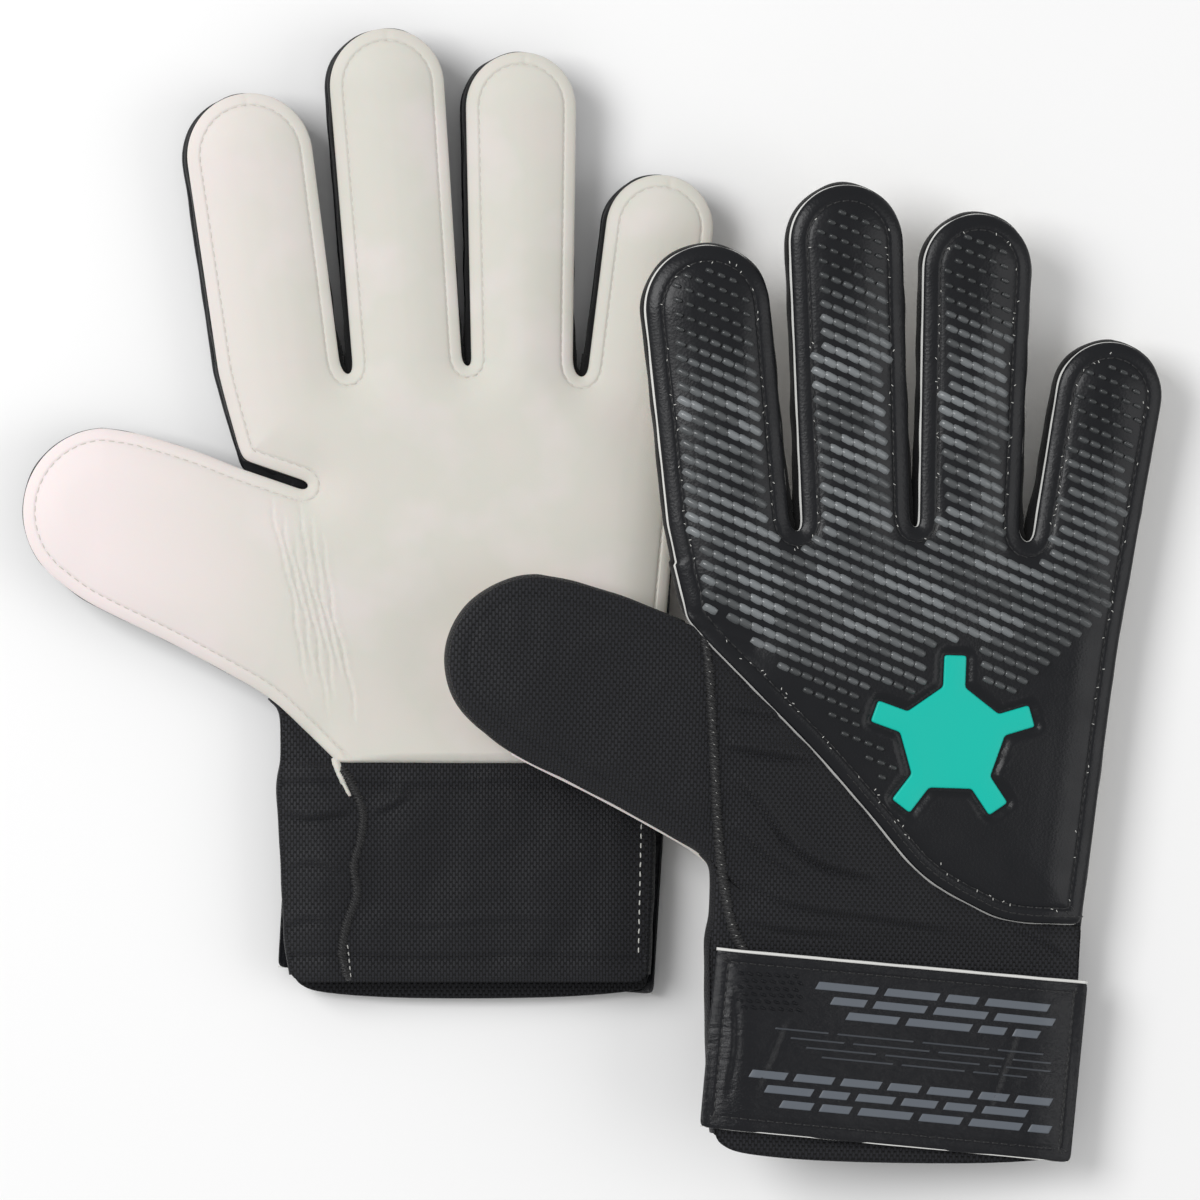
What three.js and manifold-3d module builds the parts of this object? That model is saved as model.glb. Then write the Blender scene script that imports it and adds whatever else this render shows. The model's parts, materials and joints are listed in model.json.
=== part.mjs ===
// A pair of goalkeeper gloves lying as they were put down: the left one on its back with the
// palm up, the right one on its palm with one side resting over the left.
//
// Millimetres, +Z up. Both gloves are drawn in one glove frame: x across the hand with the
// thumb at -x, y from the wrist crease (0) to the fingertips, z through the layers. The gloves
// mirror each other, so one lying palm up and one lying palm down share every outline, and
// only the order of their layers is turned over.

import * as THREE from 'three';
import { mergeVertices } from 'three/addons/utils/BufferGeometryUtils.js';
import Module from 'manifold-3d';

const wasm = await Module();
wasm.setup();

const at = (x, y) => new THREE.Vector2(x, y);

// ---------------------------------------------------------------- sizes

const THICKNESS = 18; // one glove, lying flat
const HALF_GAP = 0.3; // each piece stops this far short of a fold line
const SEAM_GAP = 0.4; // between two pieces that are sewn edge to edge
const ARC_STEPS = 12;
const WELD = 1e-4; // vertices closer than this are one

// Depth of every layer, counted from the back of the hand towards the palm.
const LAYERS = {
  backFoam: [0, 3.6],
  backMesh: [1.6, 3.6],
  backLining: [3.9, 4.6],
  wall: [4.9, 14.6],
  palmLining: [14.9, 15.7],
  palmLatex: [16, THICKNESS],
  digitBack: [0, 4.6],
  digitPalm: [14.9, THICKNESS],
  strap: [0, 1.8],
  hooks: [2.1, 2.6],
  loops: [2.9, 3.4],
  cuffBack: [3.7, 4.6],
  cuffPalm: [14.9, 16.6],
};

// A side wall starts a little inside the outline of the palm and the back.
const WALL_OUTSIDE = 0.6;
const WALL_INSIDE = 3.2;
const LINING_INSET = 3.5;

// Each finger folds about the line through its base, square to its length.
const FINGERS = [
  { name: 'little', base: at(49, 111), tip: at(54.4, 151.6), baseHalf: 14.6, tipRadius: 15 },
  { name: 'ring', base: at(15.4, 114), tip: at(15.1, 185.8), baseHalf: 14.2, tipRadius: 15.4 },
  { name: 'middle', base: at(-17.2, 114), tip: at(-22.8, 191.8), baseHalf: 15.3, tipRadius: 16 },
  { name: 'index', base: at(-53.6, 113), tip: at(-61.6, 171.9), baseHalf: 17, tipRadius: 17.6 },
];
const VALLEYS = [at(32, 109), at(-0.2, 112), at(-34.4, 109.8)]; // between those four fingers

// The thumb folds about a line along the palm.
const THUMB_FOLD_X = -45;
const THUMB = { tip: at(-102.5, 71), tipRadius: 23.8, top: 77, bottom: 10.5, heel: at(-57.5, 18) };
const THUMB_SHOULDER = 5; // the thumb's edges leave the fold line square, this far

// The edges of the hand and the cuff.
const HAND_HEEL = at(-37, 0);
const HAND_SIDE = [at(51, 0), at(53.3, 17.4), at(57.6, 63)];
const INDEX_SIDE = [at(-63.6, 84.6), at(THUMB_FOLD_X + HALF_GAP, 77.5)];
const THUMB_FOLD_END = at(THUMB_FOLD_X + HALF_GAP, 9);
const CUFF_SIDE = [at(-53.5, 2), at(-54.5, -8), at(-52.4, -50), at(-51, -62)];
const CUFF_PALM_END = -62;
const CUFF_BACK_START = -6;
const CUFF_BACK_END = -67;
const CUFF_TAPER = 1; // the cuff is this much narrower at its mouth
const CUFF_WALL_TOP = at(-46.8, 7.5);

// The foam of the back ends on a slanting line across the hand, and mesh goes on from it.
const FOAM_EDGE = [at(-44.7, 65.2), at(-25, 46.7), at(4.8, 15), at(20.5, 6), at(32, 2), at(51.1, 2)];

// The strap is sewn down along its thumb-side edge, which is its first and last corner.
const STRAP = [at(-55.6, -58.1), at(51, -65.8), at(54.2, -14.5), at(-52.7, -7.7)];
const HOOK_PAD = [at(19, -56), at(46, -58), at(48.5, -22), at(21.5, -20)];
const LOOP_PAD = [at(9, -59), at(47, -61.5), at(49.5, -17), at(11.5, -14.5)];

// The emblem is a football panel with five seams, let into the foam.
const EMBLEM = { centre: at(12, 53), seams: 5, core: 15, reach: 24, seamHalf: 3.4, depth: 1, fit: 0.3 };

// How the pair lies.
const RIGHT_OFFSET = new THREE.Vector3(119.15, -45.3, 0);
const RIGHT_TURN = THREE.MathUtils.degToRad(-2);
const RIGHT_TILT = THREE.MathUtils.degToRad(8.9);
const REST_EDGE = [at(52, -66), at(69.6, 151.6)]; // the right glove stands on this edge

// ---------------------------------------------------------------- materials

function material(color, roughness, metalness = 0) {
  return new THREE.MeshStandardMaterial({ color, roughness, metalness });
}

const MATERIALS = {
  latex: () => material(0xded9d3, 0.75),
  foam: () => material(0x1a1a1d, 0.45),
  mesh: () => material(0x151518, 0.9),
  gusset: () => material(0x101013, 0.8),
  lining: () => material(0x2c2d31, 0.9),
  emblem: () => material(0x16c4b8, 0.4),
  strap: () => material(0x1d1e22, 0.3),
  hooks: () => material(0x0f0f11, 0.6),
  loops: () => material(0x202024, 0.95),
};

// ---------------------------------------------------------------- outlines

/** Moves a path sideways to its left, by the same distance everywhere. */
function offset(path, distance, closed = false) {
  const last = path.length - 1;
  const leftOf = (a, b) => at(a.y - b.y, b.x - a.x).normalize();
  return path.map((point, i) => {
    const before = i > 0 ? path[i - 1] : path[last];
    const after = i < last ? path[i + 1] : path[0];
    const incoming = leftOf(before, point);
    const outgoing = leftOf(point, after);
    if (!closed && i === 0) incoming.copy(outgoing);
    if (!closed && i === last) outgoing.copy(incoming);
    const both = incoming.add(outgoing);
    return point.clone().addScaledVector(both, (2 * distance) / both.lengthSq());
  });
}

/** The outline of a wall that follows a path, a little inside it. */
function wallOutline(path) {
  return [...offset(path, WALL_OUTSIDE), ...offset(path, WALL_INSIDE).reverse()];
}

/** Points on an arc, counter-clockwise. */
function arc(centre, radius, from, to) {
  return Array.from({ length: ARC_STEPS + 1 }, (_, i) => {
    const angle = from + ((to - from) * i) / ARC_STEPS;
    return at(centre.x + radius * Math.cos(angle), centre.y + radius * Math.sin(angle));
  });
}

function fingerFrame({ base, tip }) {
  const along = tip.clone().sub(base).normalize();
  return { along, across: at(along.y, -along.x) };
}

/** A point on a finger's fold line: side is 1 or -1, ahead is how far past the line. */
function baseCorner(finger, side, ahead) {
  const { along, across } = fingerFrame(finger);
  return finger.base.clone()
    .addScaledVector(across, side * finger.baseHalf)
    .addScaledVector(along, ahead);
}

/** A finger's edge, from its little-finger side round the tip to its thumb side. */
function fingerPath(finger) {
  const heading = fingerFrame(finger).across.angle();
  return [
    baseCorner(finger, 1, HALF_GAP),
    ...arc(finger.tip, finger.tipRadius, heading, heading + Math.PI),
    baseCorner(finger, -1, HALF_GAP),
  ];
}

/** The angle of the radius at which a line from a point touches a circle. */
function tangentAngle(from, centre, radius, side) {
  const away = centre.clone().sub(from);
  return away.angle() - side * (Math.PI / 2 + Math.asin(radius / away.length()));
}

/** The thumb's edge, from the index side round the tip to the heel of the hand. */
function thumbPath() {
  const { tip, tipRadius, top, bottom, heel } = THUMB;
  const foldX = THUMB_FOLD_X - HALF_GAP;
  const shoulder = at(foldX - THUMB_SHOULDER, top);
  const from = tangentAngle(shoulder, tip, tipRadius, 1);
  const to = tangentAngle(heel, tip, tipRadius, -1);
  return [
    at(foldX, top),
    shoulder,
    ...arc(tip, tipRadius, from, to),
    heel,
    at(foldX - THUMB_SHOULDER, bottom),
    at(foldX, bottom),
  ];
}

/** The edge of the hand across the four finger bases, from the little finger to the index. */
function knuckleEdge() {
  return FINGERS.flatMap((finger, i) => [
    baseCorner(finger, 1, -HALF_GAP),
    baseCorner(finger, -1, -HALF_GAP),
    ...VALLEYS.slice(i, i + 1),
  ]);
}

function palmOutline() {
  return [HAND_HEEL, ...HAND_SIDE, ...knuckleEdge(), ...INDEX_SIDE, THUMB_FOLD_END];
}

function backFoamOutline() {
  return [...HAND_SIDE.slice(1), ...knuckleEdge(), ...INDEX_SIDE, ...FOAM_EDGE];
}

function backMeshOutline() {
  return [
    at(CUFF_SIDE[1].x, CUFF_BACK_START),
    at(HAND_SIDE[0].x, CUFF_BACK_START),
    ...offset(FOAM_EDGE, -SEAM_GAP).reverse(),
    THUMB_FOLD_END,
    CUFF_SIDE[0],
  ];
}

function cuffBackOutline() {
  const side = HAND_SIDE[0].x;
  return [
    at(CUFF_SIDE[3].x, CUFF_BACK_END),
    at(side - CUFF_TAPER, CUFF_BACK_END),
    at(side, CUFF_BACK_START - SEAM_GAP),
    at(CUFF_SIDE[1].x, CUFF_BACK_START - SEAM_GAP),
  ];
}

function cuffPalmOutline() {
  const side = HAND_SIDE[0].x;
  return [
    at(side - CUFF_TAPER, CUFF_PALM_END),
    at(side, -SEAM_GAP),
    at(HAND_HEEL.x - SEAM_GAP, -SEAM_GAP),
    at(THUMB_FOLD_END.x - SEAM_GAP, THUMB_FOLD_END.y - SEAM_GAP),
    ...CUFF_SIDE,
  ];
}

/** The emblem's outline, grown all round by a given amount. */
function emblemOutline(grow) {
  const { centre, seams, core, reach, seamHalf } = EMBLEM;
  return Array.from({ length: seams }, (_, i) => i).flatMap((i) => {
    const angle = Math.PI / 2 + (i * 2 * Math.PI) / seams;
    const out = at(Math.cos(angle), Math.sin(angle));
    const left = at(-out.y, out.x);
    const corner = (radius, side) => centre.clone()
      .addScaledVector(out, radius + grow)
      .addScaledVector(left, side * (seamHalf + grow));
    return [corner(core, -1), corner(reach, -1), corner(reach, 1), corner(core, 1)];
  });
}

// ---------------------------------------------------------------- solids

/** An outline made solid between two depths of a glove. */
function plate(glove, outline, [near, far]) {
  const geometry = new THREE.ExtrudeGeometry(new THREE.Shape(outline), {
    depth: far - near,
    bevelEnabled: false,
  });
  geometry.translate(0, 0, glove.backUp ? THICKNESS - far : near);
  return geometry;
}

function add(glove, piece, geometry, kind) {
  const mesh = new THREE.Mesh(geometry, MATERIALS[kind]());
  mesh.name = `${glove.name}_${piece}`;
  glove.group.add(mesh);
}

function toManifold(geometry) {
  const bare = geometry.clone();
  bare.deleteAttribute('normal');
  bare.deleteAttribute('uv');
  const merged = mergeVertices(bare, WELD);
  return new wasm.Manifold(new wasm.Mesh({
    numProp: 3,
    vertProperties: new Float32Array(merged.attributes.position.array),
    triVerts: new Uint32Array(merged.index.array),
  }));
}

function subtract(geometry, tool) {
  const result = toManifold(geometry).subtract(toManifold(tool)).getMesh();
  const cut = new THREE.BufferGeometry();
  cut.setAttribute('position', new THREE.Float32BufferAttribute(result.vertProperties, 3));
  cut.setIndex(Array.from(result.triVerts));
  cut.computeVertexNormals();
  return cut;
}

// ---------------------------------------------------------------- pieces of a glove

function addPalm(glove) {
  const outline = palmOutline();
  add(glove, 'palm_latex', plate(glove, outline, LAYERS.palmLatex), 'latex');
  add(glove, 'palm_lining', plate(glove, offset(outline, LINING_INSET, true), LAYERS.palmLining), 'lining');
}

/** The foam panel of the back, with a pocket that holds the emblem flush. */
function addBack(glove) {
  const { depth, fit } = EMBLEM;
  const foam = plate(glove, backFoamOutline(), LAYERS.backFoam);
  const pocket = plate(glove, emblemOutline(fit), [-fit, depth + fit]);
  add(glove, 'backhand_panel', subtract(foam, pocket), 'foam');
  add(glove, 'emblem', plate(glove, emblemOutline(0), [0, depth]), 'emblem');
  add(glove, 'back_mesh_panel', plate(glove, backMeshOutline(), LAYERS.backMesh), 'mesh');
  const lining = offset(palmOutline(), LINING_INSET, true);
  add(glove, 'back_lining', plate(glove, lining, LAYERS.backLining), 'lining');
}

/** The walls that join the back to the palm round the hand and down both sides of the cuff. */
function addGussets(glove) {
  const [little] = FINGERS;
  const index = FINGERS.at(-1);
  const mouth = at(HAND_SIDE[0].x - CUFF_TAPER, CUFF_PALM_END);
  const outer = [mouth, ...HAND_SIDE, baseCorner(little, 1, -HALF_GAP)];
  const inner = [baseCorner(index, -1, -HALF_GAP), ...INDEX_SIDE];
  const cuff = [CUFF_WALL_TOP, ...CUFF_SIDE];
  add(glove, 'outer_gusset', plate(glove, wallOutline(outer), LAYERS.wall), 'gusset');
  add(glove, 'inner_gusset', plate(glove, wallOutline(inner), LAYERS.wall), 'gusset');
  add(glove, 'cuff_thumb_gusset', plate(glove, wallOutline(cuff), LAYERS.wall), 'mesh');
}

/** One finger or the thumb: back, side wall and palm, all open towards the hand. */
function addDigit(glove, name, path) {
  add(glove, `${name}_back`, plate(glove, path, LAYERS.digitBack), name === 'thumb' ? 'mesh' : 'foam');
  add(glove, `${name}_gusset`, plate(glove, wallOutline(path), LAYERS.wall), 'gusset');
  add(glove, `${name}_palm`, plate(glove, path, LAYERS.digitPalm), 'latex');
}

function addCuff(glove) {
  add(glove, 'cuff_palm_panel', plate(glove, cuffPalmOutline(), LAYERS.cuffPalm), 'mesh');
  add(glove, 'cuff_back_panel', plate(glove, cuffBackOutline(), LAYERS.cuffBack), 'mesh');
  add(glove, 'loop_pad', plate(glove, LOOP_PAD, LAYERS.loops), 'loops');
}

function addStrap(glove) {
  add(glove, 'strap', plate(glove, STRAP, LAYERS.strap), 'strap');
  add(glove, 'hook_pad', plate(glove, HOOK_PAD, LAYERS.hooks), 'hooks');
}

function makeGlove(name, backUp) {
  const glove = { name, backUp, group: new THREE.Group() };
  glove.group.name = `${name}_glove`;
  addPalm(glove);
  addBack(glove);
  addGussets(glove);
  FINGERS.forEach((finger) => addDigit(glove, finger.name, fingerPath(finger)));
  addDigit(glove, 'thumb', thumbPath());
  addCuff(glove);
  addStrap(glove);
  return glove.group;
}

// ---------------------------------------------------------------- the pair

/** Tips a glove up about the edge that it stands on. */
function tilted(glove) {
  const [low, high] = REST_EDGE;
  const edge = new THREE.Vector3(high.x - low.x, high.y - low.y, 0).normalize();
  const tilt = new THREE.Group();
  tilt.position.set(low.x, low.y, 0);
  tilt.quaternion.setFromAxisAngle(edge, RIGHT_TILT);
  glove.position.set(-low.x, -low.y, 0);
  return tilt.add(glove);
}

const rightPlace = new THREE.Group();
rightPlace.position.copy(RIGHT_OFFSET);
rightPlace.rotation.z = RIGHT_TURN;
rightPlace.add(tilted(makeGlove('right', true)));

const pair = new THREE.Group();
pair.add(makeGlove('left', false), rightPlace);

// The origin is the middle of the pair's box, on the surface that it lies on.
const box = new THREE.Box3().setFromObject(pair);
const middle = box.getCenter(new THREE.Vector3());
pair.position.set(-middle.x, -middle.y, -box.min.z);

export default pair;
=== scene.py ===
"""The looks of a pair of goalkeeper gloves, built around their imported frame.

Each glove is drawn in a frame of its own, in millimetres: x across the hand with the thumb at -x,
y from the wrist crease (0) to the fingertips, and depth from the back of the hand (0) to the palm
(THICKNESS). Glove.to_row() lays it in the row frame, in metres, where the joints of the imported
frame say that it is. The two gloves mirror each other, so the one that lies palm down has the same
outlines as the one that lies palm up, with its depth turned over.
"""

import json
import math

import bpy
import numpy as np
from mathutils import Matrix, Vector, kdtree
from mathutils.geometry import delaunay_2d_cdt


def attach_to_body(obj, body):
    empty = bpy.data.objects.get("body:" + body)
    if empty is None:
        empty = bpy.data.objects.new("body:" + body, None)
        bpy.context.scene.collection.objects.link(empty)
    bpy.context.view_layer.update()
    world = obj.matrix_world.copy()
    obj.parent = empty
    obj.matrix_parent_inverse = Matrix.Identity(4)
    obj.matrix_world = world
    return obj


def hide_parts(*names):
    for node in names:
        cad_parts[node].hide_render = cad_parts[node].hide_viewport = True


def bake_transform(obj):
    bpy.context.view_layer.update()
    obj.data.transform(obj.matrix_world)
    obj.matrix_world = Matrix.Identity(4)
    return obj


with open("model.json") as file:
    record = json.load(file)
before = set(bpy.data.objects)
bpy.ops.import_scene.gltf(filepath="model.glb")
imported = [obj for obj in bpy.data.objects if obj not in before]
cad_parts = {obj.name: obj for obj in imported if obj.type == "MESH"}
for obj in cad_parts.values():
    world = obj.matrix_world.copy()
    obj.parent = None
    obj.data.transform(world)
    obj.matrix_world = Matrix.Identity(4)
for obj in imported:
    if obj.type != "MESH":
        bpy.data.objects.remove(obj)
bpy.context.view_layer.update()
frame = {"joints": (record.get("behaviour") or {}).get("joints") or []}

# ---------------- sizes, in millimetres

THICKNESS = 18.0

FINGERS = {
    "little": {"base": (49, 111), "tip": (54.4, 151.6), "half": 14.6, "radius": 15},
    "ring": {"base": (15.4, 114), "tip": (15.1, 185.8), "half": 14.2, "radius": 15.4},
    "middle": {"base": (-17.2, 114), "tip": (-22.8, 191.8), "half": 15.3, "radius": 16},
    "index": {"base": (-53.6, 113), "tip": (-61.6, 171.9), "half": 17, "radius": 17.6},
}
VALLEYS = [(32, 109), (-0.2, 112), (-34.4, 109.8)]

THUMB_TIP = (-102.3, 71)
THUMB_RADIUS = 23.8
THUMB_TOP = [(-64.4, 83.2), (-77, 88.2), (-92, 92.8), (-103, 94.8)]
THUMB_LOW = [(-117, 52.2), (-107, 45.2), (-86, 34.8), (-70, 26.3), (-57, 18.6), (-46, 8.5), (-37.5, 0.2)]

# Where the thumb starts to bend, and how long the bends of the digits are. The strap's is a share of it.
THUMB_FOLD = [(-57.5, 18.5), (-45.4, 78.6)]
THUMB_BEND = 20
FINGER_BEND = 22
STRAP_BEND = 0.1

# What lies this far beside a finger still counts as part of it, and turns up with its tip.
FINGER_MARGIN = 4

# The slot between the thumb and the hand: its inner end, its mouth and half its width.
SLOT_END = (-46.5, 78.6)
SLOT_MOUTH = (-63.9, 84.6)
SLOT_HALF = 1.45

# The sides of the hand and the cuff, from the wrist crease or the cuff's mouth.
HAND_SIDE = [(51.5, 0), (53.3, 17.4), (55.4, 40), (57.6, 63), (60, 85), (62.4, 101)]
INDEX_SIDE = [(-68, 101), (-64.8, 89)]
CUFF_THUMB_SIDE = [(-53.8, 14), (-53.5, 2), (-54.5, -8), (-53.4, -30), (-52.4, -50), (-51, -60)]
CUFF_LITTLE_SIDE = [(50, -60), (51.2, -30), (51.8, -2)]
CUFF_PALM_END = -62.0
CUFF_SEAM = [(-36, -2), (-33.4, -6), (-30.4, -13.8), (-30.9, -21), (-32.9, -29), (-32.1, -37), (-35, -45.5),
             (-36.3, -54), (-34.8, -60.5)]

# The slanting end of the foam, and the overlocked seam of the thumb's side on the back.
FOAM_EDGE = [(-58, 78), (-41.5, 62.4), (-25, 46.7), (-10, 30.8), (4.8, 15), (20.5, 6), (32, 2.2), (51.2, 1.7)]
SIDE_SEAM = [(-59, 80), (-57.6, 66), (-56, 49), (-54.6, 33), (-52.4, 17), (-49, 0), (-44, -10)]

# The corners of the strap and of the two halves of its fastener, from the thumb's side.
STRAP = [(-55.6, -58.1), (51, -65.8), (54.2, -14.5), (-52.7, -7.7)]
HOOK_PAD = [(19, -56), (46, -58), (48.5, -22), (21.5, -20)]
LOOP_PAD = [(9, -59), (47, -61.5), (49.5, -17), (11.5, -14.5)]

EMBLEM = {"centre": (12, 53), "core": 15, "reach": 24, "seam_half": 3.4}

# The right glove stands on its outer edge and rests on the left one with the other side.
REST_EDGE = [(52, -66), (69.6, 151.6)]
DRAPE_REACH = 122.0
DRAPE_HEIGHT = 19.3

# How far each tip turns up.
TIP_LIFT = {
    "left": {"index": 2.5, "middle": 3, "ring": 2.2, "little": 0, "thumb": 1.5},
    "right": {"index": 0.6, "middle": 2, "ring": 2.2, "little": 1.5, "thumb": 0.6},
}

# How thick the edges are, as a share of the middle, and how far in the full thickness starts. The
# strap follows the cuff, which reaches CUFF_HALF to each side of CUFF_MIDDLE.
EDGE_SHARE = 0.68
PUFF_REACH = 13.0
CUFF_HALF = 52.2
CUFF_MIDDLE = -1.2

# How far a glove's back has slid towards the thumb under its palm, as a share of its thickness, and
# how that changes along the hand, as (y, factor).
SLIDE = {"left": 0.15, "right": 0}
SLIDE_PLACES = [(0, -0.4), (70, 0.3), (105, 1)]

# How much longer than its pattern a thumb lies, as a share of its length.
THUMB_REACH = {"left": 0, "right": 0.08}

# The depths of the outer faces, at their edges, and how far out each face rises further in, as
# (distance from the edge, rise): a rolled border, a stitched groove and a crown.
PALM_FACE = 14.7
PALM_RISE = [(0, 0), (0.35, 0.5), (0.9, 0.85), (1.8, 1.1), (2.6, 1.12), (3.0, 0.95), (3.3, 0.5), (3.6, 0.95),
             (4.0, 1.2), (4.8, 1.4), (6.2, 1.6), (9, 1.9), (12, 2.15), (16, 2.4), (30, 2.6)]
FOAM_FACE = 2.3
FOAM_RISE = [(0, 0), (0.4, 0.55), (1.0, 0.9), (2.2, 1.15), (3.4, 1.1), (4.1, 0.85), (4.4, 0.4), (4.7, 0.75),
             (5.1, 1.0), (6.0, 1.15), (9, 1.4), (12, 1.6), (18, 1.9), (30, 2.05)]
STRAP_FACE = 1.4
STRAP_RISE = [(0, 0), (0.5, 0.35), (1.1, 0.5), (1.6, 0.58), (2.6, 0.6), (3.1, 0.45), (3.5, 0.15), (3.9, 0.35),
              (5.0, 0.55), (9, 0.65)]
MESH_RINGS = (0.5, 1.5)

# How far in the stitched grooves of the palm, the foam and the strap are, and where the cuff's hems are.
PALM_GROOVE = 3.3
FOAM_GROOVE = 4.4
STRAP_GROOVE = 3.5
CUFF_HEMS = (-6.3, -55.2)

# Sections of the side walls, as (outward, depth).
GUSSET = [(-0.6, 3.9), (0.1, 4.4), (0.55, 6.5), (0.75, 9.5), (0.6, 12.5), (0.1, 13.6), (-0.6, 14.2),
          (-1.5, 13.9), (-1.2, 9.5), (-1.5, 4.2)]
CUFF_GUSSET = [(-0.5, 3.9), (0.3, 4.6), (0.7, 7), (0.8, 9.5), (0.7, 12), (0.3, 13.8), (-0.5, 14.6),
               (-1.4, 14.0), (-1.1, 9.5), (-1.4, 4.4)]

# Folds of the mesh and creases of the strap, as (line, height).
THUMB_CREASES = 6
BACK_FOLDS = [
    ([(-53, 59), (-43, 57.5), (-36, 57)], 1.3),
    ([(-52, 48), (-40, 46.5), (-27, 45)], 1.8),
    ([(-50, 40), (-42, 32), (-34, 22), (-24, 16), (-9, 12)], 2.3),
    ([(-50, 26), (-40, 18), (-30, 12)], 1.3),
    ([(-46, 10), (-30, 4), (-8, 1), (14, -2)], 1.3),
    ([(-46, 0), (-34, -3), (-16, -4)], 0.9),
    ([(30, 0), (40, -4), (48, -9)], 1.0),
]
CUFF_FOLDS = [
    ([(-53, -14.5), (-46, -16.2), (-34, -15)], 1.6),
    ([(-28, -15), (-23, -13.5), (-17, -10)], 1.1),
    ([(-53, -31), (-45, -29), (-36, -32)], 0.6),
    ([(-30, -44), (-12, -47), (12, -45), (36, -47)], 0.5),
    ([(-53, -47), (-46, -45), (-38, -46)], 0.7),
]
STRAP_CREASES = [
    ([(-41, -47), (-37, -38), (-33, -27)], 0.5),
    ([(26, -52), (30, -40), (34, -28)], 0.5),
    ([(-20, -42), (-4, -40), (22, -42)], 0.3),
    ([(-49, -20), (-48, -34), (-50, -50)], 0.6),
]

# The simulated sheets: how fine they are, how much too large, how heavy and how stiff, for how long they
# run, and how high their folds are made.
CLOTH_PITCH = 3.0
CLOTH_EASE = 0.04
CLOTH_MASS = 0.1
CLOTH_STIFFNESS = 0.3
CLOTH_FRAMES = 20
FOLD_HEIGHT = 0.9

# The printed dashes of the back, and where their rows stop above the plain corner.
RIDGE_SLOPE = math.radians(-20)
RIDGE_ROW = 3.66
RIDGE_PITCH = 3.6
PLAIN_LINE = [(-8, 32), (50, 88)]

# How far apart the points of an outline are.
EDGE_STEP = 0.9

# Where the points of a raised dash are, from -1 to 1 along and across it, and the tint of its grey.
BEAD_ALONG = (-1, -0.85, -0.4, 0.4, 0.85, 1)
BEAD_ACROSS = (-1, -0.6, 0, 0.6, 1)
GREY_TINT = (1, 1.07, 1.11)

# Sizes of the stage, in metres, and the point of the left glove that the camera looks at.
FLOOR_SIZE = 3.0
CAMERA_HEIGHT = 2.4
VIEW_WIDTH = 0.342
VIEW_CENTRE = (37.05, 46.2)


# ---------------- outlines


def xy(points):
    return np.array(points, float)


def arc(centre, radius, start, end):
    """Points on an arc from one angle to another, in degrees, about EDGE_STEP apart."""
    n = max(3, int(abs(math.radians(end - start)) * radius / EDGE_STEP))
    t = np.radians(np.linspace(start, end, n))
    return np.column_stack([centre[0] + radius * np.cos(t), centre[1] + radius * np.sin(t)])


def curve(points):
    """A smooth curve through the points."""
    p = xy(points)
    p = np.vstack([2 * p[0] - p[1], p, 2 * p[-1] - p[-2]])
    out = []
    for a, b, c, d in zip(p, p[1:], p[2:], p[3:]):
        t = np.linspace(0, 1, max(2, int(np.linalg.norm(c - b) / EDGE_STEP)), endpoint=False)[:, None]
        square, cube = 2 * a - 5 * b + 4 * c - d, 3 * b - a - 3 * c + d
        out.append(0.5 * (2 * b + (c - a) * t + square * t**2 + cube * t**3))
    return np.vstack([*out, p[-2:-1]])


def resample(points, step, closed=False):
    """The same line with its points evenly spaced."""
    p = np.vstack([points, points[:1]]) if closed else np.asarray(points, float)
    lengths = np.concatenate([[0], np.cumsum(np.linalg.norm(np.diff(p, axis=0), axis=1))])
    n = max(2, int(round(lengths[-1] / step)))
    at = np.linspace(0, lengths[-1], n + 1)
    out = np.column_stack([np.interp(at, lengths, p[:, i]) for i in range(p.shape[1])])
    return out[:-1] if closed else out


def closed_loop(*pieces, step=EDGE_STEP, rounding=3):
    """One counter-clockwise outline from lines laid end to end, with its corners a little rounded."""
    loop = resample(np.vstack(pieces), step, closed=True)
    for _ in range(rounding):
        loop = 0.5 * loop + 0.25 * (np.roll(loop, 1, 0) + np.roll(loop, -1, 0))
    return loop


def left_normals(line, closed=False):
    """Unit vectors to the left of a line, at each of its points."""
    if closed:
        along = np.roll(line, -1, 0) - np.roll(line, 1, 0)
    else:
        along = np.gradient(line, axis=0)
    along /= np.maximum(np.linalg.norm(along, axis=1, keepdims=True), 1e-9)
    return np.column_stack([-along[:, 1], along[:, 0]])


def inside(points, loop):
    """Which points lie inside the loop."""
    result = np.zeros(len(points), bool)
    after = np.roll(loop, -1, 0)
    for (ax, ay), (bx, by) in zip(loop, after):
        if ay == by:
            continue
        crosses = (points[:, 1] > min(ay, by)) & (points[:, 1] <= max(ay, by))
        at = ax + (points[:, 1] - ay) * (bx - ax) / (by - ay)
        result ^= crosses & (points[:, 0] < at)
    return result


def point_tree(points):
    """A search tree over points in a plane."""
    tree = kdtree.KDTree(len(points))
    for i, (x, y) in enumerate(points):
        tree.insert((x, y, 0), i)
    tree.balance()
    return tree


class Distance:
    """The distance from points to an outline."""

    def __init__(self, line, closed=True):
        self.tree = point_tree(resample(line, 0.3, closed))

    def __call__(self, points):
        return np.array([self.tree.find((x, y, 0))[2] for x, y in points])


def finger_frame(finger):
    base, tip = xy(finger["base"]), xy(finger["tip"])
    along = (tip - base) / np.linalg.norm(tip - base)
    return base, tip, along, xy((along[1], -along[0]))


def base_corner(finger, side):
    base, _, _, across = finger_frame(finger)
    return base + side * finger["half"] * across


def finger_edge(finger):
    """A finger's edge, from its little-finger side round the tip to its thumb side."""
    _, tip, _, across = finger_frame(finger)
    heading = math.degrees(math.atan2(across[1], across[0]))
    tip_arc = arc(tip, finger["radius"], heading, heading + 180)
    return np.vstack([base_corner(finger, 1), tip_arc, base_corner(finger, -1)])


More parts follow.
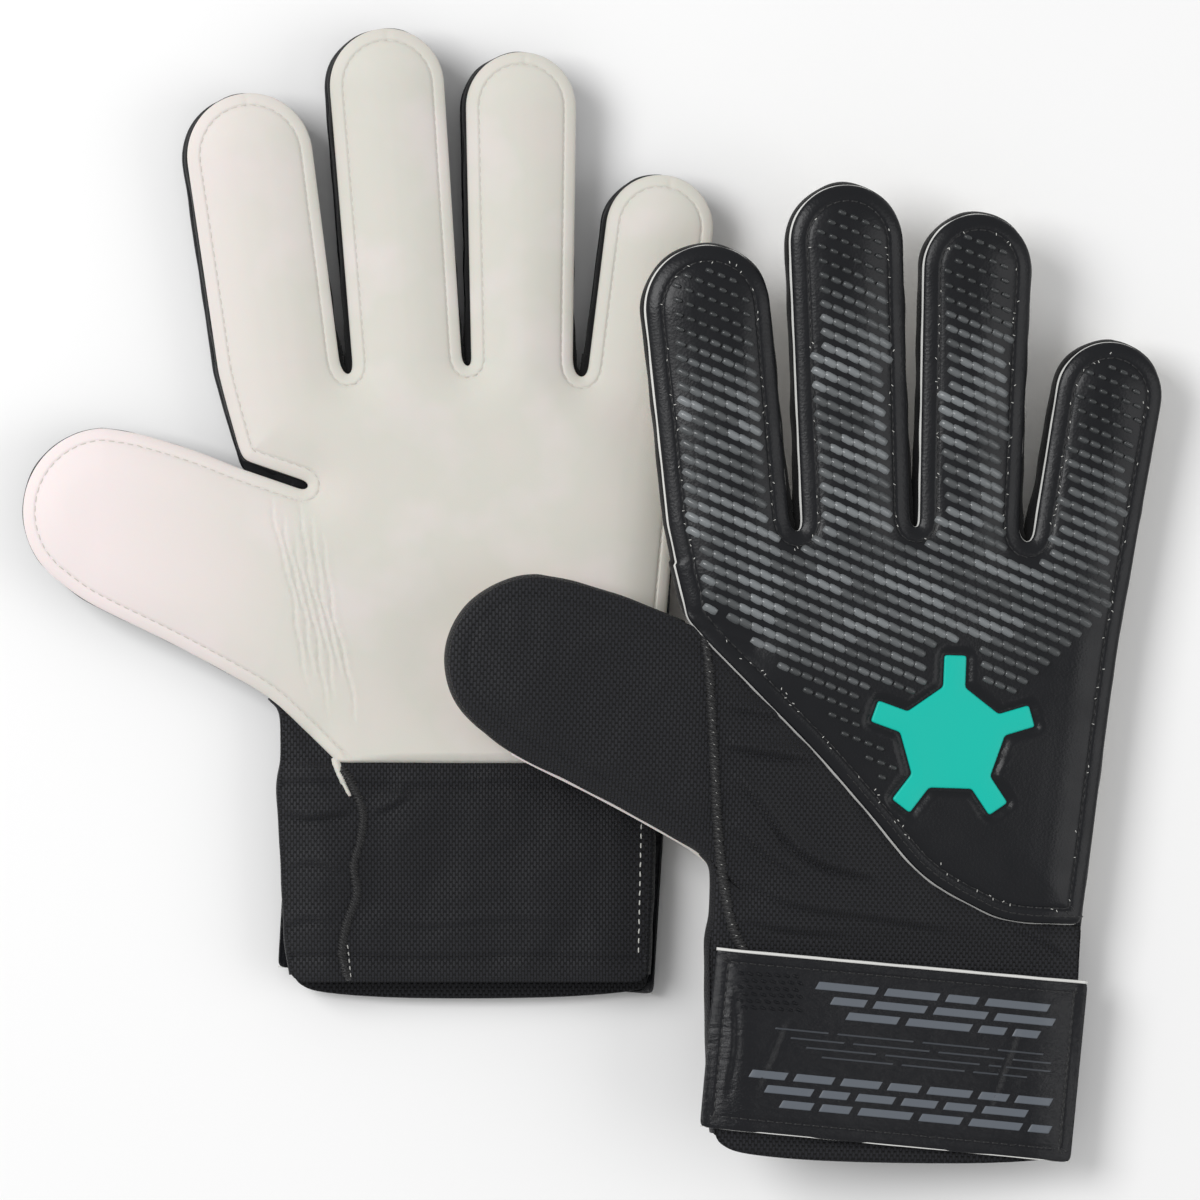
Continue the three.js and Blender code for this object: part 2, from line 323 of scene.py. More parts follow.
def valley(before, after, lowest):
    """The rounded edge between two fingers."""
    start, end = base_corner(before, -1), base_corner(after, 1)
    middle, turn = (start + end) / 2, np.linspace(0, math.pi, 9)[:, None]
    return middle + np.cos(turn) * (start - end) / 2 + np.sin(turn) * (xy(lowest) - middle)


def knuckles():
    """The edge round all four fingers, from the little finger to the index."""
    fingers = list(FINGERS.values())
    line = [finger_edge(fingers[0])]
    for before, after, lowest in zip(fingers, fingers[1:], VALLEYS):
        line += [valley(before, after, lowest), finger_edge(after)]
    return np.vstack(line)


def slot_edges():
    """The two long edges and the round end of the slot beside the thumb."""
    end, mouth = xy(SLOT_END), xy(SLOT_MOUTH)
    out = (mouth - end) / np.linalg.norm(mouth - end)
    side = xy((-out[1], out[0])) * SLOT_HALF
    angle = math.degrees(math.atan2(-side[1], -side[0]))
    upper, lower = [mouth - side, end - side], [end + side, mouth + side]
    return np.vstack([upper, arc(end, SLOT_HALF, angle, angle - 180), lower])


def thumb_edge():
    """The thumb's edge, from the slot round the tip to the heel of the hand."""
    return np.vstack([curve(THUMB_TOP), arc(THUMB_TIP, THUMB_RADIUS, 97, 229), curve(THUMB_LOW)])


def palm_loop():
    return closed_loop(curve(HAND_SIDE), knuckles(), INDEX_SIDE, slot_edges(), thumb_edge())


def palm_seam():
    """The sewn edge of the palm. The wrist edge isn't part of it, because the mesh is sewn on flat."""
    sides = [curve(HAND_SIDE), knuckles(), INDEX_SIDE, slot_edges(), thumb_edge()]
    line = resample(np.vstack([[(51.5, -9)], *sides, [(-33, -9)]]), EDGE_STEP)
    for _ in range(3):
        line[1:-1] = 0.5 * line[1:-1] + 0.25 * (line[2:] + line[:-2])
    return line


def foam_loop():
    return closed_loop(curve(HAND_SIDE)[4:], knuckles(), INDEX_SIDE, [SLOT_MOUTH], curve(FOAM_EDGE))


def silhouette():
    """The edge of the whole glove, from the mouth of the cuff round the fingers and back to it."""
    hand = [curve(HAND_SIDE), knuckles(), INDEX_SIDE, slot_edges(), thumb_edge()[:-12]]
    return np.vstack([curve(CUFF_LITTLE_SIDE), *hand, curve(CUFF_THUMB_SIDE)])


def back_mesh_loop():
    """The mesh of the back: it starts under the foam and goes on over the thumb and the cuff."""
    tucked = curve(FOAM_EDGE) + left_normals(curve(FOAM_EDGE)) * 2.5
    bottom = curve([(-50, -62.5), (-44, -65), (-26, -66.6), (0, -67), (28, -66.4), (47, -64.5), (49.2, -62)])
    return closed_loop(
        tucked[::-1], [(-62.5, 82.5)], thumb_edge()[:-12], CUFF_THUMB_SIDE, bottom, CUFF_LITTLE_SIDE
    )


def cuff_palm_loop():
    """The mesh of the cuff on the palm side. Its top edge is tucked under the latex."""
    top = [(50.5, 2.5), (-36, 2.5), (-46, 11), (-52, 15)]
    end = CUFF_PALM_END
    bottom = [(-49.4, end + 0.6), (-47.5, end), (47.5, end), (49.4, end + 1)]
    return closed_loop(top, CUFF_THUMB_SIDE, bottom, CUFF_LITTLE_SIDE)


def emblem_loop(grow=0.0):
    """A football panel with five seams running out of its corners."""
    core, reach, half = (EMBLEM[key] + grow for key in ("core", "reach", "seam_half"))
    points = []
    for i in range(5):
        angle = math.pi / 2 + i * math.tau / 5
        out = xy((math.cos(angle), math.sin(angle)))
        left = xy((-out[1], out[0]))
        for radius, side in ((core, -half), (reach, -half), (reach, half), (core, half)):
            points.append(xy(EMBLEM["centre"]) + out * radius + left * side)
    return closed_loop(points, step=0.5, rounding=2)


def digit_of(points):
    """The name of the digit that each point is on, or hand."""
    names = np.full(len(points), "hand", dtype=object)
    best = np.full(len(points), np.inf)
    for name, finger in FINGERS.items():
        base, _, along, across = finger_frame(finger)
        ahead, aside = (points - base) @ along, np.abs((points - base) @ across)
        found = (ahead > 0) & (aside < finger["half"] + FINGER_MARGIN) & (aside < best)
        names[found], best[found] = name, aside[found]
    heel, out = xy(THUMB_FOLD)[0], left_normals(xy(THUMB_FOLD))[0]
    slope = (SLOT_MOUTH[1] - SLOT_END[1]) / (SLOT_MOUTH[0] - SLOT_END[0])
    below_slot = points[:, 1] < SLOT_END[1] + (points[:, 0] - SLOT_END[0]) * slope
    names[((points - heel) @ out > 0) & below_slot & (points[:, 1] > heel[1] - 1)] = "thumb"
    return names


# ---------------- how a glove lies


class Glove:
    """One glove: where it lies, and which way up."""

    def __init__(self, side):
        self.side = side
        self.flipped = side == "right"
        seed = 7 if self.flipped else 3
        self.rng = np.random.default_rng(seed)
        self.edge = Distance(silhouette(), closed=False)
        self.back_folds = cloth_folds(back_mesh_loop(), seed)
        self.cuff_folds = cloth_folds(cuff_palm_loop(), seed + 20)
        joints = {j["name"]: j for j in frame["joints"]}
        verb = "bend_back" if self.flipped else "curl"
        thumb, ring = joints[f"{side}_thumb_{verb}"], joints[f"{side}_ring_{verb}"]
        base, _, _, across = finger_frame(FINGERS["ring"])
        up_hand = xy(thumb["axis"])
        over_hand = (xy(ring["axis"]) - across[1] * up_hand) / across[0]
        self.axes = np.array([over_hand, up_hand, np.cross(over_hand, up_hand)])
        self.origin = xy(ring["pos_m"]) - self._turned(np.array([[*base, THICKNESS]]))[0]

    def _turned(self, points):
        return points @ self.axes / 1000

    def to_row(self, points, strap=False):
        """Turns x, y and depth in the glove's frame into the row frame, with its fabric at rest.

        The glove is thinner along its edges, and the strap follows it down at both of its ends.
        """
        p = np.array(points, float).reshape(-1, 3)
        inset = CUFF_HALF - np.abs(p[:, 0] - CUFF_MIDDLE) if strap else self.edge(p[:, :2])
        full = np.sin(ease(inset, PUFF_REACH) * math.pi / 2)
        depth = THICKNESS / 2 + (p[:, 2] - THICKNESS / 2) * (EDGE_SHARE + (1 - EDGE_SHARE) * full)
        height = THICKNESS - depth if self.flipped else depth
        across = p[:, 0] - THUMB_REACH[self.side] * np.clip(-60 - p[:, 0], 0, None) * (p[:, 1] < 100)
        across -= SLIDE[self.side] * (THICKNESS - p[:, 2]) * np.interp(p[:, 1], *xy(SLIDE_PLACES).T)
        row = self._turned(np.column_stack([across, p[:, 1], height])) + self.origin
        row[:, 2] += (self._lift(p[:, :2]) + self._drape(p[:, :2])) / 1000
        return row

    def _lift(self, points):
        """The fingertips turn up a little."""
        lift = np.zeros(len(points))
        for name, finger in FINGERS.items():
            base, tip, along, across = finger_frame(finger)
            t = np.clip((points - base) @ along / np.linalg.norm(tip - base), 0, 1.4)
            near = np.abs((points - base) @ across) < finger["half"] + FINGER_MARGIN
            lift += np.where(near, TIP_LIFT[self.side][name] * t**2, 0)
        out = np.clip((-50 - points[:, 0]) / 50, 0, 2) * (points[:, 1] < 100)
        return lift + TIP_LIFT[self.side]["thumb"] * out**2

    def _drape(self, points):
        """The right glove sags between the floor and the glove that it lies on."""
        if not self.flipped:
            return 0
        side = left_normals(xy(REST_EDGE))[0]
        reach = (points - REST_EDGE[0]) @ side
        slope = abs(self.axes[0][2])
        t = ease(reach, DRAPE_REACH)
        beyond = np.clip(reach - DRAPE_REACH, 0, None)
        return DRAPE_HEIGHT * (0.45 * t + 0.55 * smooth(t)) - reach * slope + beyond * 0.02

    def body(self, digit):
        return f"{self.side}_{digit}"

    def blend_line(self, digit):
        """Where a digit's bend would start and where it would end, in the row frame. attach works this line
        out but bends nothing along it.
        """
        if digit == "thumb":
            heel, slot = xy(THUMB_FOLD)
            start, along = (heel + slot) / 2, left_normals(xy(THUMB_FOLD))[0] * THUMB_BEND
        elif digit == "strap":
            start, along = xy(STRAP[0]), (xy(STRAP[1]) - xy(STRAP[0])) * STRAP_BEND
        else:
            start, _, along, _ = finger_frame(FINGERS[digit])
            along = along * FINGER_BEND
        ends = [[*start, THICKNESS / 2], [*(start + along), THICKNESS / 2]]
        flat = self._turned(np.array(ends)) + self.origin
        return Vector(flat[0]), Vector(flat[1])


# ---------------- meshes


def make_object(name, points, faces, materials, face_materials=None, pattern=None, normals=None):
    """A smooth-shaded mesh object in the row frame, with its materials by name.

    pattern is the place of each point on the cloth, in millimetres, for the materials.
    """
    mesh = bpy.data.meshes.new(name)
    mesh.from_pydata(points.tolist(), [], faces)
    for material in materials:
        mesh.materials.append(MATERIALS[material])
    if face_materials is not None:
        mesh.polygons.foreach_set("material_index", np.asarray(face_materials, np.int32))
    mesh.polygons.foreach_set("use_smooth", np.ones(len(faces), bool))
    if pattern is not None:
        corner = np.zeros(len(mesh.loops), np.int32)
        mesh.loops.foreach_get("vertex_index", corner)
        layer = mesh.uv_layers.new(name="pattern")
        layer.data.foreach_set("uv", (pattern[corner] / 100).astype(np.float32).ravel())
    mesh.update()
    if normals is not None:
        mesh.normals_split_custom_set_from_vertices(normals.tolist())
    obj = bpy.data.objects.new(name, mesh)
    bpy.context.scene.collection.objects.link(obj)
    return obj


def attach(glove, obj, digit, nodes=()):
    """Lets a piece move with the hand. A piece of one digit or of the strap only gets its transform baked and
    is attached to no body.
    """
    if digit == "hand":
        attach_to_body(obj, glove.body(digit))
    else:
        start, end = glove.blend_line(digit)
        glove.body("hand")
        glove.body(digit)
        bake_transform(obj)
    if nodes:
        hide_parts(*[f"{glove.side}_{n}" for n in nodes])
    return obj


def vertex_normals(points, faces):
    """Area-weighted normals at the points."""
    normals = np.zeros_like(points)
    for size in (3, 4):
        same = np.array([f for f in faces if len(f) == size])
        if not len(same):
            continue
        a, b, c = (points[same[:, i]] for i in (0, 1, size - 1))
        face = np.cross(b - a, c - a)
        for i in range(size):
            np.add.at(normals, same[:, i], face)
    return normals / np.maximum(np.linalg.norm(normals, axis=1, keepdims=True), 1e-12)


class FlatMesh:
    """A flat triangle mesh inside an outline, finer along its edge and along any features."""

    def __init__(self, loop, rings, pitch, features=(), seed=1):
        self.loop = loop
        self.distance = Distance(loop)
        points = [loop]
        normals = left_normals(loop, closed=True)
        for ring in rings:
            points.append(self._kept(loop + normals * ring, 0.95 * ring))
        for feature, offsets, closed in features:
            sideways = left_normals(feature, closed)
            for offset in offsets:
                points.append(self._kept(feature + sideways * offset, 1.0))
        low, high = loop.min(0), loop.max(0)
        x, y = np.meshgrid(np.arange(low[0], high[0], pitch), np.arange(low[1], high[1], pitch * 0.87))
        x = x + (np.arange(len(x)) % 2)[:, None] * pitch / 2
        lattice = np.column_stack([x.ravel(), y.ravel()])
        lattice += np.random.default_rng(seed).uniform(-0.12, 0.12, lattice.shape) * pitch
        points.append(self._kept(lattice, max(rings, default=0) + 0.45 * pitch))
        points = np.vstack(points)
        n = len(loop)
        edges = [(i, (i + 1) % n) for i in range(n)]
        out, _, faces, kept, _, _ = delaunay_2d_cdt([Vector(p) for p in points], edges, [], 1, 1e-5)
        place = {old: new for new, olds in enumerate(kept) for old in olds}
        self.points = np.array([tuple(v) for v in out])
        self.faces = np.array(faces)
        self.edge = np.array([place[i] for i in range(n)])
        self.depth_in = self.distance(self.points)

    def _kept(self, points, clear):
        points = points[inside(points, self.loop)]
        return points[self.distance(points) > clear]


def shell(glove, name, flat, upper, lower, rim, materials, nodes_of, part_of=None, flare=None):
    """Makes the solid between two surfaces over a flat mesh, as one object for each part of it.

    upper and lower are depths at the flat mesh's points. rim lists (outward, depth) for the lines
    between the upper edge and the lower edge, and the material of the strip above each of them.
    held says how it is declared: padded, or the way that a sheet of cloth is held. part_of names the
    part_of names the part that each point is in. flare scales how far the rim stands out.
    """
    n, edge = len(flat.points), flat.edge
    outward = -left_normals(flat.points[edge], closed=True)
    rows = [np.column_stack([flat.points, upper]), np.column_stack([flat.points, lower])]
    strips = [edge]
    if flare is not None:
        outward = outward * flare(flat.points[edge], outward)[:, None]
    for out, depth, _ in rim:
        strips.append(sum(len(r) for r in rows) + np.arange(len(edge)))
        rows.append(np.column_stack([flat.points[edge] + outward * out, np.full(len(edge), depth)]))
    strips.append(edge + n)
    points = np.vstack(rows)
    after = np.roll(np.arange(len(edge)), -1)
    faces = [tuple(f) for f in flat.faces] + [tuple(f[::-1] + n) for f in flat.faces]
    kinds = [0] * len(faces)
    for (_, _, kind), one, two in zip([*rim, (0, 0, 0)], strips, strips[1:]):
        faces += [tuple(q) for q in np.column_stack([one, two, two[after], one[after]])]
        kinds += [kind] * len(edge)
    if glove.flipped:
        faces = [f[::-1] for f in faces]
    middles = np.array([points[list(f), :2].mean(0) for f in faces])
    parts = part_of(middles) if part_of else digit_of(middles)
    row = glove.to_row(points, strap=parts[0] == "strap")
    normals = vertex_normals(row, faces)
    flat_parts = parts[: len(flat.faces)]
    for part in sorted(set(parts)):
        chosen = [f for f, p in zip(faces, parts) if p == part]
        chosen_kinds = [k for k, p in zip(kinds, parts) if p == part]
        caps = cut_edges(flat.faces[flat_parts == part], edge)
        caps = [(a, b, b + n, a + n) if glove.flipped else (b, a, a + n, b + n) for a, b in caps]
        chosen += caps
        chosen_kinds += [0] * len(caps)
        used = np.unique(np.concatenate([np.array(f) for f in chosen]))
        renumber = np.full(len(points), -1)
        renumber[used] = np.arange(len(used))
        obj = make_object(
            f"{glove.side}_{name}_{part}" if part != "hand" else f"{glove.side}_{name}_skin",
            row[used],
            [tuple(int(renumber[i]) for i in f) for f in chosen],
            materials,
            chosen_kinds,
            points[used, :2],
            normals[used],
        )
        attach(glove, obj, part if part in (*FINGERS, "thumb", "strap") else "hand", nodes_of(part))


def cut_edges(triangles, outline):
    """The edges where one part of a flat mesh was cut from the next, which aren't on its outline."""
    sides = np.concatenate([triangles[:, [0, 1]], triangles[:, [1, 2]], triangles[:, [2, 0]]])
    known = {frozenset(pair) for pair in zip(outline.tolist(), np.roll(outline, -1).tolist())}
    seen = {}
    for a, b in sides.tolist():
        key = frozenset((a, b))
        seen[key] = None if key in seen else (a, b)
    return [pair for key, pair in seen.items() if pair and key not in known]


def band(glove, name, line, profile, material, digit, nodes=(), wobble=0.0, swell=0.0):
    """A strip along a line, with a closed section as (outward, depth).

    wobble moves the middle of the section in and out at random, and swell moves it out.
    """
    outward = -left_normals(line)
    section = xy(profile)
    t = np.arange(len(line)) / len(line)
    shift = wobble * sum(np.sin(t * len(line) / w + glove.rng.uniform(0, 6)) for w in (1.9, 3.1, 5.3)) / 2
    middle = (section[:, 1].min() + section[:, 1].max()) / 2
    half = max((section[:, 1].max() - section[:, 1].min()) / 2, 1e-6)
    bulge = np.clip(1 - ((section[:, 1] - middle) / half) ** 2, 0, 1)
    rows = []
    for point, out, extra in zip(line, outward, shift + swell):
        moved = point + out * (section[:, :1] + extra * bulge[:, None])
        rows.append(np.column_stack([moved, section[:, 1]]))
    m = len(section)
    points = np.vstack(rows)
    faces = []
    for i in range(0, (len(line) - 1) * m, m):
        faces += [(i + k, i + m + k, i + m + (k + 1) % m, i + (k + 1) % m) for k in range(m)]
    faces += [tuple(range(m)), tuple(reversed(range(len(points) - m, len(points))))]
    if glove.flipped:
        faces = [f[::-1] for f in faces]
    run = np.concatenate([[0], np.cumsum(np.linalg.norm(np.diff(line, axis=0), axis=1))])
    pattern = np.column_stack([np.repeat(run, m), points[:, 2]])
    row = glove.to_row(points, strap=digit == "strap")
    obj = make_object(f"{glove.side}_{name}", row, faces, [material], None, pattern)
    attach(glove, obj, digit, nodes)


def beads(
    glove, name, centres, angles, length, width, height, surface, material,
    part=None, shades=None, blunt=False,
):
    """Many small raised dashes on a surface: ridges of print, or stitches of thread.

    surface gives the depth at points. A positive height stands out on the palm side, a negative
    one on the back. Dashes are put in one object for each digit, unless part names where they all go.
    A blunt dash keeps its height almost to its ends, so that a row of them reads as one wavy bar.
    """
    if not len(centres):
        return
    s, t = (g.ravel() for g in np.meshgrid(BEAD_ALONG, BEAD_ACROSS))
    parts = np.full(len(centres), part, dtype=object) if part else digit_of(centres)
    along = np.column_stack([np.cos(angles), np.sin(angles)])
    across = np.column_stack([-along[:, 1], along[:, 0]])
    length, width = (np.broadcast_to(v, len(centres))[:, None] / 2 for v in (length, width))
    taper = 1 - 0.3 * s**2
    x = centres[:, 0, None] + along[:, 0, None] * s * length + across[:, 0, None] * t * taper * width
    y = centres[:, 1, None] + along[:, 1, None] * s * length + across[:, 1, None] * t * taper * width
    flat = np.stack([x, y], axis=-1)
    crown = (1 - 0.08 * s**2) * (1 - s**20) if blunt else 1 - s**4
    rise = height * (1.15 * crown * (1 - t**2) - 0.15)
    m, n = len(BEAD_ALONG), len(BEAD_ACROSS)
    corners = [i * m + j for i in range(n - 1) for j in range(m - 1)]
    quads = [(k, k + 1, k + m + 1, k + m) for k in corners]
    if (height < 0) != glove.flipped:
        quads = [q[::-1] for q in quads]
    for one in sorted(set(parts)):
        chosen = parts == one
        points = flat[chosen].reshape(-1, 2)
        depth = surface(points) + np.tile(rise, chosen.sum())
        faces = [tuple(k * m * n + i for i in q) for k in range(chosen.sum()) for q in quads]
        row = glove.to_row(np.column_stack([points, depth]), strap=one == "strap")
        label = "body" if one in ("hand", "strap") else one
        obj = make_object(f"{glove.side}_{name}_{label}", row, faces, [material], None, points)
        if shades is not None:
            colors = obj.data.color_attributes.new("shade", "FLOAT_COLOR", "POINT")
            value = np.repeat(shades[chosen], m * n)[:, None] * GREY_TINT
            colors.data.foreach_set("color", np.column_stack([value, np.ones(len(value))]).ravel())
        attach(glove, obj, one)


def stitches(
    glove, name, line, pitch, length, width, height, surface, material,
    part=None, lean=0.0, closed=False,
):
    """Stitches along a line. lean turns each of them away from the line, in degrees."""
    spots = resample(line, pitch, closed)
    normal = left_normals(spots, closed)
    angles = np.arctan2(-normal[:, 0], normal[:, 1]) + math.radians(lean)
    angles = angles + glove.rng.normal(0, 0.05 if lean == 0 else 0.2, len(spots))
    beads(glove, name, spots, angles, length, width, height, surface, material, part)


def inset_line(loop, inset):
    """The closed line at a distance inside an outline."""
    return loop + left_normals(loop, closed=True) * inset


def crease(points, line, height):
    """A sharp crease, with the cloth that it gathers standing up beside it."""
    return fold(points, xy(line) + xy((0, 2.0)), 2.3, height) + fold(points, line, 0.9, -1.1 * height)


def cloth_folds(loop, seed):
    """Simulates a sheet that is sewn down round its edge and a little too large for it.

    Returns the points of the sheet and how far each of them has risen, in millimetres.
    """
    flat = FlatMesh(loop, (), CLOTH_PITCH, seed=seed)
    start = np.random.default_rng(seed).normal(0, 0.15, len(flat.points))
    mesh = bpy.data.meshes.new("folding_cloth")
    mesh.from_pydata((np.column_stack([flat.points, start]) / 1000).tolist(), [], flat.faces.tolist())
    obj = bpy.data.objects.new("folding_cloth", mesh)
    scene = bpy.context.scene
    scene.collection.objects.link(obj)
    obj.vertex_groups.new(name="sewn").add(flat.edge.tolist(), 1.0, "REPLACE")
    cloth = obj.modifiers.new("cloth", "CLOTH")
    cloth.settings.vertex_group_mass = "sewn"
    cloth.settings.shrink_min = -CLOTH_EASE
    cloth.settings.mass = CLOTH_MASS
    cloth.settings.bending_stiffness = CLOTH_STIFFNESS
    cloth.settings.effector_weights.gravity = 0
    cloth.point_cache.frame_end = CLOTH_FRAMES
    for frame_number in range(1, CLOTH_FRAMES + 1):
        scene.frame_set(frame_number)
    settled = obj.evaluated_get(bpy.context.evaluated_depsgraph_get()).data
    place = np.zeros(len(settled.vertices) * 3)
    settled.vertices.foreach_get("co", place)
    rise = place.reshape(-1, 3)[:, 2] * 1000
    bpy.data.objects.remove(obj)
    scene.frame_set(1)
    tallest = np.percentile(np.abs(rise), 98)
    return point_tree(flat.points), np.clip(rise / tallest, -1.2, 1.2) * FOLD_HEIGHT


def relief(folds, points):
    """The height of a simulated sheet at any points."""
    tree, rise = folds
    out = np.zeros(len(points))
    for i, (x, y) in enumerate(points):
        near = tree.find_n((x, y, 0), 8)
        weights = [math.exp(-((away / 2.4) ** 2)) for _, _, away in near]
        total = sum(weights)
        if total > 1e-6:
            out[i] = sum(w * rise[index] for w, (_, index, _) in zip(weights, near)) / total
    return out


def bell(distance, width):
    """1 at no distance, and almost nothing at twice the width."""
    return np.exp(-((distance / width) ** 2))


def ease(value, full):
    """0 at or below 0, and 1 from full on."""
    return np.clip(value / full, 0, 1)


def smooth(t):
    """Goes from 0 to 1 with level ends."""
    return t * t * (3 - 2 * t)


def waves(points, wavelength, seed, count=6):
    """Smooth random relief between about -1 and 1, the same each time for one seed."""
    rng = np.random.default_rng(seed)
    total = np.zeros(len(points))
    for _ in range(count):
        angle, phase = rng.uniform(0, math.tau, 2)
        length = wavelength * rng.uniform(0.7, 1.5)
        total += np.sin((points @ xy((math.cos(angle), math.sin(angle)))) * math.tau / length + phase)
    return total / math.sqrt(count)


def fold(points, line, width, height):
    """A soft ridge, or with a negative height a crease, along a line, fading at its ends."""
    path = resample(curve(line), 1.0)
    tree = point_tree(path)
    found = [tree.find((x, y, 0)) for x, y in points]
    away = np.array([f[2] for f in found])
    along = np.array([f[1] for f in found]) / max(1, len(path) - 1)
    fade = np.sin(np.clip(along, 0.001, 0.999) * math.pi) ** 0.5
    return height * fade * bell(away, width)


# ---------------- materials


def linear(code):
    """A colour written as #rrggbb, in linear light."""
    parts = [int(code[i : i + 2], 16) / 255 for i in (1, 3, 5)]
    return (*[c / 12.92 if c <= 0.04045 else ((c + 0.055) / 1.055) ** 2.4 for c in parts], 1)


class Finish:
    """A material being built: a Principled shader and short ways to add nodes to it."""

    def __init__(self, name, color, roughness, **inputs):
        self.material = bpy.data.materials.new(name)
        self.material.use_nodes = True
        self.tree = self.material.node_tree
        self.shader = self.tree.nodes["Principled BSDF"]
        self.shader.inputs["Base Color"].default_value = linear(color)
        self.shader.inputs["Roughness"].default_value = roughness
        for key, value in inputs.items():
            self.shader.inputs[key.replace("_", " ")].default_value = value

    def node(self, kind, links=(), **settings):
        """Adds a node. links maps its inputs to outputs; settings are properties or input values."""
        made = self.tree.nodes.new(kind)
        for key, value in settings.items():
            if hasattr(made, key):
                setattr(made, key, value)
            else:
                made.inputs[key.replace("_", " ")].default_value = value
        for key, output in dict(links).items():
            self.tree.links.new(output, made.inputs[key])
        return made

    def pattern(self, scale=(1, 1, 1), turn=0.0):
        """The place on the glove in units of 100 mm, scaled and turned."""
        place = self.node("ShaderNodeUVMap", uv_map="pattern")
        mapping = self.node("ShaderNodeMapping", {"Vector": place.outputs["UV"]})
        mapping.inputs["Scale"].default_value = scale
        mapping.inputs["Rotation"].default_value = (0, 0, turn)
        return mapping.outputs["Vector"]

    def noise(self, vector, scale, detail=2.0, roughness=0.5):
        return self.node(
            "ShaderNodeTexNoise", {"Vector": vector}, Scale=scale, Detail=detail, Roughness=roughness
        ).outputs["Fac"]

    def ramp(self, value, stops):
        """Turns a value into a colour, by stops of (place, colour)."""
        made = self.node("ShaderNodeValToRGB", {"Fac": value})
        elements = made.color_ramp.elements
        while len(elements) < len(stops):
            elements.new(0.5)
        for element, (place, color) in zip(elements, stops):
            element.position = place
            element.color = color
        return made.outputs["Color"]

    def bump(self, height, distance, strength=1.0, normal=None):
        links = {"Height": height}
        if normal is not None:
            links["Normal"] = normal
        return self.node(
            "ShaderNodeBump", links, Strength=strength, Distance=distance
        ).outputs["Normal"]

    def use(self, **outputs):
        for key, output in outputs.items():
            self.tree.links.new(output, self.shader.inputs[key.replace("_", " ")])
        return self.material


def grey(value):
    return (value, value, value, 1)


def latex_finish():
    """Soft foamed latex: off-white with faint patches, pinker towards the thumb, and fine pores."""
    f = Finish("latex", "#d2cfc7", 0.62, Subsurface_Weight=0.1, Specular_IOR_Level=0.3)
    f.shader.inputs["Subsurface Scale"].default_value = 0.002
    place = f.pattern()
    shades = [(0.3, linear("#d9d2ce")), (0.5, linear("#d0cec5")), (0.72, linear("#d4cec7"))]
    patches = f.ramp(f.noise(place, 3.2, 3), shades)
    across = f.node("ShaderNodeSeparateXYZ", {"Vector": place}).outputs["X"]
    thumb = f.node("ShaderNodeMapRange", {"Value": across}, From_Min=-0.45, From_Max=-1.05).outputs["Result"]
    tinted = f.node("ShaderNodeMixRGB", {"Fac": thumb, "Color1": patches}, Color2=linear("#ebe0df"))
    pores = f.noise(place, 260, 2)
    return f.use(Base_Color=tinted.outputs["Color"], Normal=f.bump(pores, 0.00005, 0.5))


def foam_finish():
    """Polyurethane skin over foam: near black, satin, with a fine leather grain."""
    f = Finish("back_foam", "#16171a", 0.4, Specular_IOR_Level=0.24)
    place = f.pattern()
    grain = f.node("ShaderNodeTexVoronoi", {"Vector": place}, Scale=130.0).outputs["Distance"]
    wear = f.ramp(f.noise(place, 9, 4), [(0.35, grey(0.26)), (0.7, grey(0.38))])
    return f.use(Normal=f.bump(grain, 0.00006, 0.6), Roughness=wear)


def ridge_finish():
    """The raised print on the back. Each ridge carries its own shade of grey."""
    f = Finish("ridge_print", "#6a7072", 0.24)
    shade = f.node("ShaderNodeAttribute", attribute_name="shade")
    place = f.pattern()
    grain = f.noise(place, 140, 2)
    return f.use(Base_Color=shade.outputs["Color"], Normal=f.bump(grain, 0.00006, 0.5))


def mesh_finish():
    """Air mesh: columns of small upright ribs between pores, each column half a step off the next. The pores
    are coloured darker than the ribs, as painted shade in the holes.
    """
    f = Finish("mesh", "#0c0c0e", 0.62, Sheen_Weight=0.06, Specular_IOR_Level=0.3)
    place = f.pattern((100 / 0.85, 100 / 2.1, 1), math.pi / 2)
    pores = f.node("ShaderNodeTexBrick", {"Vector": place}, Scale=1.0)
    pores.offset = 0.5
    pores.inputs["Mortar Size"].default_value = 0.2
    pores.inputs["Mortar Smooth"].default_value = 1.0
    pores.inputs["Brick Width"].default_value = 1.0
    pores.inputs["Row Height"].default_value = 1.0
    height = pores.outputs["Fac"]
    # Painted shade: the base colour darkens the pores, the holes of the mesh, against its ribs.
    ribs_with_shaded_pores = f.ramp(height, [(0.05, linear("#18191e")), (0.6, linear("#060608"))])
    fuzz = f.noise(f.pattern(), 300, 2)
    normal = f.bump(height, 0.0004, 0.8, f.bump(fuzz, 0.0001, 0.4))
    return f.use(Base_Color=ribs_with_shaded_pores, Normal=normal)


def grained(name, color, roughness, scale, detail, depth, strength, **inputs):
    """A finish of one colour with a fine random grain."""
    f = Finish(name, color, roughness, **inputs)
    return f.use(Normal=f.bump(f.noise(f.pattern(), scale, detail), depth, strength))


def strap_finish():
    """Glossy polyurethane with fine creases from being bent."""
    f = Finish("strap", "#121317", 0.24, Specular_IOR_Level=0.3)
    place = f.pattern((1, 3, 1), 0.5)
    creases = f.noise(place, 14, 5, 0.7)
    grain = f.noise(f.pattern(), 170, 2)
    normal = f.bump(creases, 0.0012, 0.5, f.bump(grain, 0.00005, 0.5))
    return f.use(Normal=normal)


